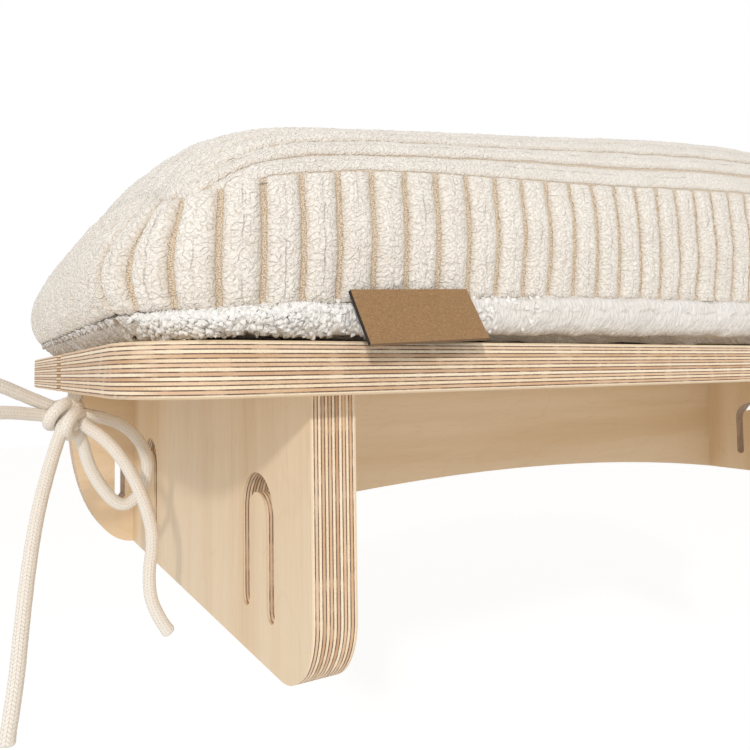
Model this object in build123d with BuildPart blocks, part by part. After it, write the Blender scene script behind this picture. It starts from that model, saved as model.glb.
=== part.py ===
from build123d import *
from math import cos, pi, sin, tan, radians
import os

# Cat wall shelf: a plywood board on two brackets and an arched wall plate, with a boxed
# cushion tied on at both ends. Millimetres, +Z up, +X to the right, the wall is at Y = 0.
# The origin is on the wall face, midway between the two wall slots, at their mid height.

# Driving sizes of the plywood parts
ply = 18.0
board_width = 800.0
board_depth = 325.0
board_corner_radius = 35.0
board_edge_radius = 1.5
slot_drop = 64.0
bracket_end_inset = 74.0
bracket_height = 108.0
bracket_setback = 18.0
bracket_nose_radius = 28.0
ear_width = 41.0
ear_straight = 20.0
arch_rise = 21.5

# Driving sizes of the arched cut-outs in the brackets
cutout_leg_width = 8.0
cutout_leg_pitch = 27.0
cutout_top_drop = 33.0
cutout_foot_height = 18.0
cutout_inset = 51.0

# Driving sizes of the wall slots and of the notches for the ties
wall_slot_width = 7.0
wall_slot_length = 30.0
wall_slot_offset = 9.0
tie_notch_width = 16.0
tie_notch_depth = 16.0

# Driving sizes of the wood screws
screw_diameter = 4.5
screw_length = 50.0
screw_head_diameter = 9.0
screw_head_height = 2.6
screw_tip_length = 6.0
screw_socket_width = 3.0
screw_socket_depth = 1.6
screw_clearance = 0.05
screw_end_inset = 17.0
plate_screw_drop = 44.0
plate_screw_pitch = 40.0
middle_screw_offset = 200.0

# Driving sizes of the cushion. Insets are measured inwards from the board's outline.
cushion_gap = 0.3
base_inset = 9.0
seam_inset = 2.0
bottom_bulge = 5.0
side_bulge = 7.0
back_bulge = 2.0
wall_clearance = 11.0
lower_seam_height = 18.0
top_seam_height = 64.0
crown_rise = 62.0
crown_reach = 80.0
cushion_corner_radius = 44.0
cover_thickness = 3.0
foam_gap = 0.3

# Driving sizes of the zip on the back of the cover
zip_length = 560.0
zip_tape_width = 12.0
zip_tape_thickness = 1.0
zip_chain_width = 6.0
zip_chain_height = 1.4
zip_end_margin = 4.0
slider_length = 12.0
slider_plate = 1.2
slider_gap = 0.3
bridge_radius = 0.8
bridge_post = 1.4
pull_width = 5.0
pull_length = 20.0
pull_thickness = 1.2
pull_eye_wall = 0.9
pull_eye_clearance = 0.08
zip_stop_margin = 8.0

# Driving sizes of the label, which is sewn in at the lower seam and leans out at its foot
label_width = 50.0
label_height = 21.5
label_thickness = 1.6
label_end_inset = 95.5
label_lean = 30.0
label_roll = 4.0
label_top_height = 17.6
label_stand_off = 1.9

# Driving sizes of the tie cords
cord_diameter = 6.0
knot_width = 17.0
knot_height = 19.0
knot_offset = 4.0
knot_drop = 11.5
arc_share = 0.45

# Shares of a bulge's height at its sections, and the most that a corner takes of a section's
# lesser side
side_shares = [0.0, 0.2, 0.5, 0.8, 1.0]
corner_share = 0.45

# Shares at the sections of the crown: of its rise, of its reach from front and back, of the
# shelf's half width from each end, and of the cushion's corner radius
crown_shares = [
    (0.0, 0.0, 0.0, 1.0),
    (0.12, 0.012, 0.01, 2.3),
    (0.25, 0.056, 0.03, 2.9),
    (0.4, 0.11, 0.07, 3.7),
    (0.55, 0.19, 0.24, 3.8),
    (0.7, 0.29, 0.48, 2.6),
    (0.82, 0.425, 0.625, 2.15),
    (0.92, 0.61, 0.75, 1.75),
    (0.97, 0.79, 0.83, 1.45),
    (1.0, 1.0, 0.89, 1.0),
]

# Places worked out from the driving sizes
underside = slot_drop
board_top = underside + ply
foot = underside - bracket_height
front = -board_depth
bracket_pitch = board_width - 2 * bracket_end_inset
bracket_front = front + bracket_setback
plate_front = -ply
bracket_depth = plate_front - bracket_front
bracket_inner = bracket_pitch / 2 - ply / 2
bracket_outer = bracket_pitch / 2 + ply / 2
slot_x = bracket_outer + wall_slot_offset
notch_y = -board_depth / 2
sides = {"left": -1, "right": 1}

# Routes of the tie cords at one end, as distance from the middle of the shelf, Y and Z. Each
# cord comes down from the seam through the notch and the knot, and ends in a hanging tail.
cord_inner_route = [
    (389, -158.8, board_top + cushion_gap), (389, -158.8, 69), (393, -163, 57),
    (390, -168, 48), (381, -172.5, 42), (371, -176, 29), (363, -178, 11),
    (358.5, -179, -7), (361.5, -179.5, -26), (359, -180, -42), (351, -180, -54),
]
cord_outer_route = [
    (389, -166.2, board_top + cushion_gap), (389, -166.2, 70), (396, -167, 57),
    (399.5, -171, 46), (405, -178, 31), (411, -188, 11), (415, -198, -10),
    (418, -208, -31), (420.5, -219, -50), (424, -227, -67),
]
loop_inner_route = [
    (393, -163, 50), (389, -160, 40), (385, -157, 26), (377, -156, 12), (368, -156, 4),
    (359, -157.5, 12), (356.5, -160, 27), (363, -162, 41), (375, -164, 50), (389, -165, 53),
]
loop_outer_route = [
    (400, -165, 52), (411, -171, 54), (424, -179, 56), (439, -187, 56), (455, -193, 58),
    (465, -196, 66), (458, -195, 75), (443, -189, 74), (427, -181, 68.5), (412, -171, 61),
    (401, -165, 56),
]


def finish(piece, label):
    piece.part.label = label
    export_step(piece.part, f"parts/{label}.step")


def arched_cutout(center_y):
    """One arched cut-out, drawn flat: two legs with round feet under a half ring."""
    middle_radius = cutout_leg_pitch / 2
    outer_radius = middle_radius + cutout_leg_width / 2
    inner_radius = middle_radius - cutout_leg_width / 2
    crown_z = underside - cutout_top_drop - outer_radius
    leg_end = foot + cutout_foot_height + cutout_leg_width / 2
    leg_length = crown_z - leg_end
    with BuildSketch() as cutout:
        with Locations((center_y, crown_z)):
            Circle(outer_radius)
            Circle(inner_radius, mode=Mode.SUBTRACT)
        with Locations((center_y, crown_z - outer_radius / 2)):
            Rectangle(2 * outer_radius, outer_radius, mode=Mode.SUBTRACT)
        with Locations((center_y, crown_z - leg_length / 2)):
            with GridLocations(cutout_leg_pitch, 0, 2, 1):
                Rectangle(cutout_leg_width, leg_length)
        with Locations((center_y, leg_end)):
            with GridLocations(cutout_leg_pitch, 0, 2, 1):
                Circle(cutout_leg_width / 2)
    return cutout.sketch


def screw_places_on_board():
    """Centres of the screws that hold the board: three a bracket, three in the wall plate."""
    first = bracket_front + screw_end_inset
    last = plate_front - screw_end_inset
    rows = [first, (first + last) / 2, last]
    over_brackets = [(s * bracket_pitch / 2, y) for s in sides.values() for y in rows]
    over_plate = [(x, plate_front / 2) for x in (-middle_screw_offset, 0, middle_screw_offset)]
    return over_brackets + over_plate


def screw_places_on_plate():
    """Centres, as X and Z, of the screws that come through the wall plate into the brackets."""
    heights = [underside - plate_screw_drop, underside - plate_screw_drop - plate_screw_pitch]
    return [(s * bracket_pitch / 2, z) for s in sides.values() for z in heights]


def screw_group(planes, spread):
    """One screw, or its hole where spread is above zero, at each plane, head up."""
    shank = screw_diameter / 2 + spread
    head = screw_head_diameter / 2 + spread
    with BuildPart() as one:
        with BuildSketch(Plane.XZ):
            with BuildLine():
                Polyline(
                    (0, 0),
                    (head, 0),
                    (shank, -screw_head_height),
                    (shank, -screw_length + screw_tip_length),
                    (0, -screw_length - spread),
                    close=True,
                )
            make_face()
        revolve(axis=Axis.Z)
        if spread == 0:
            with BuildSketch(Plane.XY):
                RegularPolygon(screw_socket_width / 2, 6)
            extrude(amount=-screw_socket_depth, mode=Mode.SUBTRACT)
    return [plane.location * one.part for plane in planes]


board_screw_planes = [
    Plane(origin=(x, y, board_top), z_dir=(0, 0, 1)) for x, y in screw_places_on_board()
]
plate_screw_planes = [
    Plane(origin=(x, 0, z), z_dir=(0, 1, 0)) for x, z in screw_places_on_plate()
]
board_screw_holes = screw_group(board_screw_planes, screw_clearance)
plate_screw_holes = screw_group(plate_screw_planes, screw_clearance)

os.makedirs("parts", exist_ok=True)

# The board: rounded corners, eased edges, and a notch in the middle of each end for the tie
with BuildPart() as shelf_board:
    with BuildSketch(Plane.XY.offset(underside)):
        with Locations((0, front / 2)):
            RectangleRounded(board_width, board_depth, board_corner_radius)
    extrude(amount=ply)
    rims = shelf_board.edges().filter_by(Plane.XY)
    fillet(rims, board_edge_radius)
    with BuildSketch(Plane.XY.offset(underside)):
        with Locations((0, notch_y)):
            with GridLocations(board_width, 0, 2, 1):
                SlotOverall(2 * tie_notch_depth, tie_notch_width)
    extrude(amount=ply, mode=Mode.SUBTRACT)
    add(board_screw_holes, mode=Mode.SUBTRACT)
finish(shelf_board, "shelf_board")

# The brackets: upright plates with a rounded nose and two arched cut-outs each
for side_name, side in sides.items():
    with BuildPart() as bracket:
        with BuildSketch(Plane.YZ.offset(side * bracket_pitch / 2)) as bracket_face:
            with Locations((bracket_front + bracket_depth / 2, underside - bracket_height / 2)):
                Rectangle(bracket_depth, bracket_height)
            nose = bracket_face.vertices().group_by(Axis.Y)[0].sort_by(Axis.X)[0]
            fillet(nose, bracket_nose_radius)
            add(arched_cutout(bracket_front + cutout_inset), mode=Mode.SUBTRACT)
            add(arched_cutout(plate_front - cutout_inset), mode=Mode.SUBTRACT)
        extrude(amount=ply / 2, both=True)
        add(board_screw_holes, mode=Mode.SUBTRACT)
        add(plate_screw_holes, mode=Mode.SUBTRACT)
    finish(bracket, f"bracket_{side_name}")

# The wall plate: an ear past each bracket with one upright slot, and a long arch between them
ear_end = bracket_outer + ear_width
ear_curve_top = underside - ear_straight
ear_curve_height = ear_curve_top - foot
with BuildPart() as wall_plate:
    with BuildSketch(Plane.XZ):
        with BuildLine():
            Polyline(
                (-ear_end, ear_curve_top),
                (-ear_end, underside),
                (ear_end, underside),
                (ear_end, ear_curve_top),
            )
            EllipticalCenterArc(
                (bracket_outer, ear_curve_top), ear_width, ear_curve_height, -90, arc_size=90
            )
            Line((bracket_outer, foot), (bracket_inner, foot))
            ThreePointArc((bracket_inner, foot), (0, foot + arch_rise), (-bracket_inner, foot))
            Line((-bracket_inner, foot), (-bracket_outer, foot))
            EllipticalCenterArc(
                (-bracket_outer, ear_curve_top), ear_width, ear_curve_height, 180, arc_size=90
            )
        make_face()
        with GridLocations(2 * slot_x, 0, 2, 1):
            SlotOverall(wall_slot_length, wall_slot_width, rotation=90, mode=Mode.SUBTRACT)
    extrude(amount=ply)
    add(board_screw_holes, mode=Mode.SUBTRACT)
    add(plate_screw_holes, mode=Mode.SUBTRACT)
finish(wall_plate, "wall_plate")

# The wood screws, one node for those in the board and one for those in the wall plate
with BuildPart() as board_screws:
    add(screw_group(board_screw_planes, 0))
finish(board_screws, "board_screws")

with BuildPart() as plate_screws:
    add(screw_group(plate_screw_planes, 0))
finish(plate_screws, "plate_screws")


def cushion_section(height, inset, end_inset, bow, sink, corner_scale=1):
    """A rounded rectangle over the board, bowed out and then shrunk by sink."""
    face = front + inset - bow + sink
    back = -wall_clearance - inset + bow * back_bulge / side_bulge - sink
    width = board_width - 2 * (end_inset - bow + sink)
    lesser_side = min(width, back - face)
    radius = min(cushion_corner_radius * corner_scale - sink, corner_share * lesser_side)
    with BuildSketch(Plane.XY.offset(board_top + height)) as section:
        with Locations((0, (back + face) / 2)):
            RectangleRounded(width, back - face, radius)
    return section.sketch


def band_sections(low, high, low_inset, high_inset, bulge, sink):
    """Sections of a band that bows out between its two seams."""
    sections = []
    for share in side_shares:
        height = low + (high - low) * share
        inset = low_inset + (high_inset - low_inset) * share
        bow = bulge * sin(pi * share)
        sections.append(cushion_section(height, inset, inset, bow, sink))
    return sections


def crown_sections(sink):
    """Sections of the crown, which rises fast at the seam and swells up to the middle."""
    sections = []
    for rise, front_inset, end_inset, corner in crown_shares:
        height = top_seam_height + (crown_rise - sink) * rise
        inset = seam_inset + crown_reach * front_inset
        end = seam_inset + board_width / 2 * end_inset
        sections.append(cushion_section(height, inset, end, 0, sink, corner))
    return sections


def stack(sections):
    """A closed form through the sections, ruled from each to the next."""
    with BuildPart() as form:
        loft(sections, ruled=True)
    return form.part


def bottom_form(sink):
    """The form under the lower seam, shrunk by sink."""
    low = cushion_gap + sink
    return stack(
        band_sections(low, lower_seam_height, base_inset, seam_inset, bottom_bulge, sink)
    )


def side_form(sink):
    """The form between the seams, shrunk by sink."""
    return stack(
        band_sections(
            lower_seam_height, top_seam_height, seam_inset, seam_inset, side_bulge, sink
        )
    )


# The cover: bottom, side band and crowned top, three shells that meet at the two seams
with BuildPart() as cover_bottom_panel:
    add(bottom_form(0))
    add(bottom_form(cover_thickness), mode=Mode.SUBTRACT)
finish(cover_bottom_panel, "cover_bottom_panel")

with BuildPart() as cover_side_band:
    add(side_form(0))
    add(side_form(cover_thickness), mode=Mode.SUBTRACT)
finish(cover_side_band, "cover_side_band")

with BuildPart() as cover_top_panel:
    add(stack(crown_sections(0)))
    add(stack(crown_sections(cover_thickness)), mode=Mode.SUBTRACT)
finish(cover_top_panel, "cover_top_panel")

# The foam core fills the cover with a small gap all round
core_sink = cover_thickness + foam_gap
with BuildPart() as cushion_foam:
    add(bottom_form(core_sink))
    add(side_form(core_sink))
    add(stack(crown_sections(core_sink)))
finish(cushion_foam, "cushion_foam")

# The zip lies along the middle of the cover's back: tape, chain, slider and hanging pull
zip_z = board_top + (lower_seam_height + top_seam_height) / 2
tape_back = -wall_clearance - seam_inset + back_bulge + foam_gap
tape_face = tape_back + zip_tape_thickness
chain_face = tape_face + zip_chain_height
with BuildPart() as zip_tape:
    with BuildSketch(Plane.XZ.offset(-tape_face)):
        with Locations((0, zip_z)):
            Rectangle(zip_length, zip_tape_width)
    extrude(amount=zip_tape_thickness)
    with BuildSketch(Plane.XZ.offset(-chain_face)):
        with Locations((0, zip_z)):
            Rectangle(zip_length - 2 * zip_end_margin, zip_chain_width)
    extrude(amount=zip_chain_height)
finish(zip_tape, "zip_tape")

slider_x = zip_length / 2 - zip_end_margin - zip_stop_margin - slider_length / 2
slider_width = zip_chain_width + 2 * slider_gap + 2 * slider_plate
plate_back = chain_face + slider_gap
plate_face = plate_back + slider_plate
eye_inner = bridge_radius + pull_eye_clearance
eye_outer = eye_inner + pull_eye_wall
bridge_y = plate_face + eye_outer + slider_gap
flange_back = tape_face + slider_gap
with BuildPart() as zip_slider:
    with BuildSketch(Plane.XZ.offset(-plate_face)):
        with Locations((slider_x, zip_z)):
            RectangleRounded(slider_length, slider_width, slider_plate)
    extrude(amount=plate_face - flange_back)
    with BuildSketch(Plane.XZ.offset(-plate_back)):
        with Locations((slider_x, zip_z)):
            Rectangle(2 * slider_length, zip_chain_width + 2 * slider_gap)
    extrude(amount=plate_back - flange_back, mode=Mode.SUBTRACT)
    with BuildSketch(Plane.YZ.offset(slider_x)):
        with Locations((bridge_y, zip_z)):
            Circle(bridge_radius)
    extrude(amount=slider_length / 2 - bridge_post / 2, both=True)
    with BuildSketch(Plane.XZ.offset(-bridge_y - bridge_radius)):
        with Locations((slider_x, zip_z)):
            with GridLocations(slider_length - bridge_post, 0, 2, 1):
                Rectangle(bridge_post, 2 * bridge_radius)
    extrude(amount=bridge_y + bridge_radius - plate_face)
finish(zip_slider, "zip_slider")

with BuildPart() as zip_pull:
    with BuildSketch(Plane.YZ.offset(slider_x)):
        with Locations((bridge_y, zip_z)):
            Circle(eye_outer)
        with Locations((bridge_y, zip_z - pull_length / 2)):
            Rectangle(pull_thickness, pull_length)
        with Locations((bridge_y, zip_z)):
            Circle(eye_inner, mode=Mode.SUBTRACT)
    extrude(amount=pull_width / 2, both=True)
finish(zip_pull, "zip_pull")

# The label is a stiff strip held by the lower seam at its top edge
label_top_y = front + seam_inset - label_stand_off
label_plane = Plane(
    origin=(-board_width / 2 + label_end_inset, label_top_y, board_top + label_top_height),
    x_dir=(cos(radians(label_roll)), 0, sin(radians(label_roll))),
    z_dir=(0, -cos(radians(label_lean)), sin(radians(label_lean))),
)
with BuildPart() as cover_label:
    with BuildSketch(label_plane):
        with Locations((0, -label_height / 2)):
            Rectangle(label_width, label_height)
    extrude(amount=label_thickness)
finish(cover_label, "cover_label")


def corner_radii(points):
    """A radius for each corner, as large as the two runs beside it allow."""
    radii = []
    for before, here, after in zip(points, points[1:], points[2:]):
        arriving = Vector(*here) - Vector(*before)
        leaving = Vector(*after) - Vector(*here)
        half_turn = radians(arriving.get_angle(leaving) / 2)
        shorter = min(arriving.length, leaving.length)
        radii.append(arc_share * shorter / tan(half_turn))
    return radii


def cord_stretch(route, side, label):
    """A tube along the route at one end of the shelf."""
    points = [(side * x, y, z) for x, y, z in route]
    radii = corner_radii(points)
    with BuildLine() as path:
        FilletPolyline(*points, radius=radii)
    first_run = Vector(*points[1]) - Vector(*points[0])
    with BuildPart() as stretch:
        with BuildSketch(Plane(origin=points[0], z_dir=first_run)):
            Circle(cord_diameter / 2)
        sweep(path=path.wires()[0])
    length = path.wires()[0].length
    plain_volume = pi * cord_diameter**2 / 4 * length
    print(label, "length", round(length, 1), "volume share",
          round(stretch.part.volume / plain_volume, 4), "radii", [round(r, 1) for r in radii])
    finish(stretch, label)


# The ties: at each end two cords come down through the notch to a bow of one knot and two
# loops
knot_x = board_width / 2 - knot_offset
knot_z = underside - knot_drop
tie_routes = {
    "cord_inner": cord_inner_route,
    "cord_outer": cord_outer_route,
    "loop_inner": loop_inner_route,
    "loop_outer": loop_outer_route,
}
for side_name, side in sides.items():
    with BuildPart() as knot:
        with BuildSketch(Plane.XZ.offset(-notch_y)):
            with Locations((side * knot_x, knot_z)):
                Ellipse(knot_width / 2, knot_height / 2)
            with Locations((side * knot_x + knot_width / 2, knot_z)):
                Rectangle(knot_width, knot_height, mode=Mode.SUBTRACT)
        revolve(axis=Axis((side * knot_x, notch_y, knot_z), (0, 0, 1)))
    finish(knot, f"tie_{side_name}_knot")
    for place, route in tie_routes.items():
        cord_stretch(route, side, f"tie_{side_name}_{place}")
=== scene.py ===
import math
import bpy
import numpy as np
from mathutils import Matrix, Vector


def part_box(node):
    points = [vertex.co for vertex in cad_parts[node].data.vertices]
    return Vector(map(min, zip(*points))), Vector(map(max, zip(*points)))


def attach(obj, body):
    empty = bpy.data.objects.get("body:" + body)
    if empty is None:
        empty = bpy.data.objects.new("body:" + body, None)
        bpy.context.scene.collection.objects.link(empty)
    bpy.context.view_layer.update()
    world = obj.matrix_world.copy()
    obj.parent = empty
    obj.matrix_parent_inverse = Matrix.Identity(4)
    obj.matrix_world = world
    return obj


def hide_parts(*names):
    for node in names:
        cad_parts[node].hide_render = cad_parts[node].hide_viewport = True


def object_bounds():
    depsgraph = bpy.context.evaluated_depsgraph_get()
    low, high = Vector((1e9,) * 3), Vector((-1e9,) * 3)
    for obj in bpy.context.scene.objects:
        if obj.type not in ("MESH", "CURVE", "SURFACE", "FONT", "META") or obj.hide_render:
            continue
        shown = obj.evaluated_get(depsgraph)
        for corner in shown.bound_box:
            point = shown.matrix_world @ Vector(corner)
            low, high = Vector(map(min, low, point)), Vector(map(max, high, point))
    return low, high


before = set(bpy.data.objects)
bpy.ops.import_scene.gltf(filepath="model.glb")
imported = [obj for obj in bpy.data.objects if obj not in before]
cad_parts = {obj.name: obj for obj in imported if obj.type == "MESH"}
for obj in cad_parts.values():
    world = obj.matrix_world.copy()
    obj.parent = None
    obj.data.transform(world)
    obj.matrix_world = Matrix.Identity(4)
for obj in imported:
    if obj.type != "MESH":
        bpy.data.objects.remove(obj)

# The box of the construction, whose lowest point places the floor
cad_box = [list(corner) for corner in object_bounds()]

# Board, brackets and wall plate: birch plywood, 18 mm thick, cut on a router and sanded.
# Thirteen plies cross each other, so the cut edges show pale long grain and darker end grain
# by turns between thin glue lines, and the faces show a pale birch veneer.
ply_count = 13
board_low, board_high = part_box("shelf_board")
plywood_thickness = board_high.z - board_low.z
veneer_pale = (229, 206, 174)
veneer_warm = (219, 191, 153)
veneer_streak = (196, 163, 124)
long_grain = [
    (246, 224, 193), (241, 217, 184), (248, 228, 199),
    (243, 221, 189), (238, 213, 179), (246, 224, 193),
]
end_grain = [
    (212, 172, 134), (224, 188, 151), (203, 160, 122),
    (217, 179, 144), (207, 167, 128), (226, 193, 160),
]
glue_line = (76, 50, 34)


def paint(red, green, blue):
    """A colour as a photograph gives it, 0 to 255, as the linear light that a shader takes."""
    def linear(value):
        share = value / 255
        return share / 12.92 if share <= 0.04045 else ((share + 0.055) / 1.055) ** 2.4
    return linear(red), linear(green), linear(blue), 1.0


class Wire:
    """A value or colour inside one material, on which sums are written as Python."""

    def __init__(self, tree, socket):
        self.tree = tree
        self.socket = socket

    def node(self, kind, settings, sockets, output=0):
        """Adds a node, sets its settings and a ramp's stops, then its sockets."""
        made = self.tree.nodes.new("ShaderNode" + kind)
        for name, value in settings.items():
            if name == "stops":
                ramp = made.color_ramp
                ends = (value[0], value[-1])
                for element, (position, colour) in zip(list(ramp.elements), ends):
                    element.position = position
                    element.color = colour
                for position, colour in value[1:-1]:
                    ramp.elements.new(position).color = colour
            elif name == "interpolation":
                made.color_ramp.interpolation = value
            else:
                setattr(made, name, value)
        for name, value in sockets.items():
            if isinstance(value, Wire):
                self.tree.links.new(value.socket, made.inputs[name])
            else:
                made.inputs[name].default_value = value
        return Wire(self.tree, made.outputs[output])

    def math(self, operation, *others):
        values = dict(enumerate((self, *others)))
        return self.node("Math", {"operation": operation}, values)

    def __add__(self, other):
        return self.math("ADD", other)

    def __sub__(self, other):
        return self.math("SUBTRACT", other)

    def __rsub__(self, other):
        return self.node("Math", {"operation": "SUBTRACT"}, {0: other, 1: self})

    def __mul__(self, other):
        return self.math("MULTIPLY", other)

    def __truediv__(self, other):
        return self.math("DIVIDE", other)

    __radd__ = __add__
    __rmul__ = __mul__

    def step(self, low, high):
        """From 0 to 1, smoothly, as this value goes from low to high."""
        settings = {"interpolation_type": "SMOOTHSTEP"}
        return self.node("MapRange", settings, {"Value": self, "From Min": low, "From Max": high})

    def blend(self, first, second):
        """A colour between two wires or written colours. This value is the second one's share."""
        ends = [tone if isinstance(tone, Wire) else paint(*tone) for tone in (first, second)]
        return self.node("Mix", {"data_type": "RGBA"}, {0: self, 6: ends[0], 7: ends[1]}, 2)

    def stretched(self, across, along, up):
        """A place with each of its axes scaled."""
        return self.node("VectorMath", {"operation": "MULTIPLY"}, {0: self, 1: (across, along, up)})

    def axes(self):
        return [self.node("SeparateXYZ", {}, {0: self}, index) for index in range(3)]

    def noise(self, scale, detail=2.0, roughness=0.5):
        sockets = {"Vector": self, "Scale": scale, "Detail": detail, "Roughness": roughness}
        return self.node("TexNoise", {}, sockets)


def new_finish(name, roughness, coordinates="Object"):
    """A material with its shader, and the place on the piece that its patterns read."""
    material = bpy.data.materials.new(name)
    material.use_nodes = True
    tree = material.node_tree
    shader = tree.nodes["Principled BSDF"]
    shader.inputs["Roughness"].default_value = roughness
    source = tree.nodes.new("ShaderNodeTexCoord")
    return material, shader, Wire(tree, source.outputs[coordinates])


def give(shader, socket, wire):
    wire.tree.links.new(wire.socket, shader.inputs[socket])


def emboss(shader, height, depth):
    """Lets a height from 0 to 1 stand out of the surface by depth, in metres."""
    bump = height.node("Bump", {}, {"Height": height, "Distance": depth, "Strength": 1.0})
    give(shader, "Normal", bump)


def plywood(name, across, grain, near_face):
    """Plywood with its plies across one axis and its face grain along another. Edges that face
    along the grain show the end grain of the face veneers, and the others their long grain."""
    material, shader, place = new_finish(name, 0.52)
    normal = place.node("TexCoord", {}, {}, 1).axes()
    streaks = place.stretched(*(0.07 if axis == grain else 1.0 for axis in range(3)))
    waver = place.noise(22) - 0.5
    raw_depth = (place.axes()[across].math("ABSOLUTE") - near_face) / plywood_thickness
    depth = raw_depth + waver * 0.01
    layer = depth * ply_count
    inner = raw_depth.step(0.02, 0.05) * raw_depth.step(0.98, 0.95)

    edges = []
    for plies in ((long_grain, end_grain), (end_grain, long_grain)):
        stops = []
        for index in range(ply_count):
            tones = plies[index % 2]
            stops.append((index / ply_count, paint(*tones[index // 2 % len(tones)])))
        settings = {"stops": stops, "interpolation": "CONSTANT"}
        edges.append(depth.node("ValToRGB", settings, {0: depth}))
    facing_end = (normal[grain] * normal[grain]).step(0.35, 0.8)
    edge = facing_end.blend(*edges)
    pores = place.noise(1900, 1.0).step(0.40, 0.72)
    edge = (pores * 0.20).blend(edge, (150, 112, 82))
    drift = place.noise(55, 2.0).step(0.35, 0.75)
    edge = (drift * 0.22).blend(edge, (246, 226, 200))
    nearness = layer.math("PINGPONG", 0.5)
    broken = place.noise(160, 2.0).step(0.30, 0.55)
    edge = (nearness.step(0.22, 0.08) * (0.50 + broken * 0.45)).blend(edge, glue_line)

    broad = streaks.noise(34, 3.0, 0.55).step(0.32, 0.70)
    fine = streaks.noise(420, 2.0, 0.6).step(0.42, 0.78)
    flecks = streaks.noise(900, 1.0).step(0.66, 0.74)
    bent = place.node("VectorMath", {"operation": "ADD"}, {0: streaks, 1: place})
    rings = bent.noise(9, 1.0, 0.3) * 9.0
    ring_lines = rings.math("PINGPONG", 0.5).step(0.06, 0.0)
    face = broad.blend(veneer_pale, veneer_warm)
    face = (fine * 0.09).blend(face, veneer_streak)
    face = (flecks * 0.14).blend(face, (176, 140, 102))
    face = (ring_lines * 0.10).blend(face, veneer_streak)

    give(shader, "Base Color", inner.blend(face, edge))
    give(shader, "Roughness", 0.46 + fine * 0.12 + inner * 0.12)
    relief = fine * 0.5 * (1 - inner) + inner * (nearness.step(0.0, 0.16) * 0.6 + pores * 0.4)
    emboss(shader, relief, 0.00012)
    return material


def dress(slot, material, *nodes):
    """Gives constructed nodes their finish."""
    for node in nodes:
        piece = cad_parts[node]
        piece.data.materials.clear()
        piece.data.materials.append(material)


bracket_low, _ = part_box("bracket_right")
board_finish = plywood("board_plywood", across=2, grain=0, near_face=board_low.z)
bracket_finish = plywood("bracket_plywood", across=0, grain=2, near_face=bracket_low.x)
plate_finish = plywood("plate_plywood", across=1, grain=0, near_face=0.0)
dress("plywood", board_finish, "shelf_board")
dress("plywood", bracket_finish, "bracket_left", "bracket_right")
dress("plywood", plate_finish, "wall_plate")

# Wood screws: countersunk, zinc plated steel, driven flush through the board and the wall
# plate into the brackets. The plating is slightly mottled, with turning marks on the heads.


def zinc_plate():
    material, shader, place = new_finish("zinc_plated_steel", 0.34)
    shader.inputs["Metallic"].default_value = 1.0
    mottle = place.noise(700, 2.0).step(0.3, 0.7)
    give(shader, "Base Color", mottle.blend((176, 178, 180), (206, 206, 200)))
    give(shader, "Roughness", 0.28 + mottle * 0.16)
    emboss(shader, place.noise(2600, 1.0), 0.00004)
    return material


dress("screw_steel", zinc_plate(), "board_screws", "plate_screws")

# The cushion: a boxed cover of wide-wale plush over a foam core. Its outline is rounded, its
# seams dip towards the front corners, its ends lean in at the top, and its crown rises fast
# from the top seam and swells towards the middle.
cover_low, cover_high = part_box("cover_top_panel")
board_top = board_high.z
outline_middle = (cover_low.y + cover_high.y) / 2
half_width = (cover_high.x - cover_low.x) / 2
half_depth = (cover_high.y - cover_low.y) / 2
corner_radius = 0.044
straight_x = half_width - corner_radius
straight_y = half_depth - corner_radius
corner_length = math.pi / 2 * corner_radius
outline_length = 4 * (straight_x + straight_y + corner_length)
seam_height = 0.0695
seam_swell = 0.013
front_dip = 0.029
back_lift = 0.021
corner_ease = 0.070
low_seam_height = 0.009
low_seam_swell = 0.0135
crown_height = 0.031
crown_swell = 0.027
crown_corner_reach = 0.014
rise_reach = 0.022
end_reach = 0.031
end_lean = 0.015
end_bulge = 0.009
side_bow = 0.0025
wale_count = 155
wale_pitch = outline_length / wale_count
wale_height = 0.0031
curl_size = 0.0019
curl_height = 0.00085
parting_depth = 0.0006
cloth_swell = 0.0004
seam_rounding = 0.0034
seam_crease = 0.0022
cloth_waver = 0.0008


def outline(walked):
    """Points and outward normals of the outline, by the length walked from the front middle."""
    marks = np.cumsum([
        0, straight_x, corner_length, 2 * straight_y, corner_length, 2 * straight_x,
        corner_length, 2 * straight_y, corner_length, straight_x,
    ])
    x = np.array([0, 1, 1, 1, 1, -1, -1, -1, -1, 0]) * straight_x
    y = np.array([-1, -1, -1, 1, 1, 1, 1, -1, -1, -1]) * straight_y
    walked = np.asarray(walked) % outline_length
    turn = np.interp(walked, marks, np.array([0, 0, 1, 1, 2, 2, 3, 3, 4, 4]) * math.pi / 2)
    normal = np.stack([np.sin(turn), -np.cos(turn)], -1)
    inner = np.stack([np.interp(walked, marks, x), np.interp(walked, marks, y)], -1)
    return inner + corner_radius * normal, normal


def ramp(values, low, high):
    share = np.clip((values - low) / (high - low), 0, 1)
    return share * share * (3 - 2 * share)


def corner_distance(x, y):
    return np.hypot(half_width - np.abs(x), half_depth - np.abs(y))


def seam_rise(x):
    """How much higher the top seam is than at the ends of the cushion."""
    return seam_swell * ramp(half_width - np.abs(x), 0.13, 0.40)


def top_seam(x, y):
    dip = front_dip - back_lift * ramp(y, -0.06, 0.09)
    return seam_height + seam_rise(x) - dip * np.exp(-corner_distance(x, y) / corner_ease)


def lower_seam(x):
    past_corner = np.maximum(half_width - np.abs(x) - 0.030, 0)
    return low_seam_height + low_seam_swell * (1 - np.exp(-past_corner / 0.11))


def end_rise(inside):
    return 1 - np.exp(-((inside / end_reach) ** 1.75))


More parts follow.
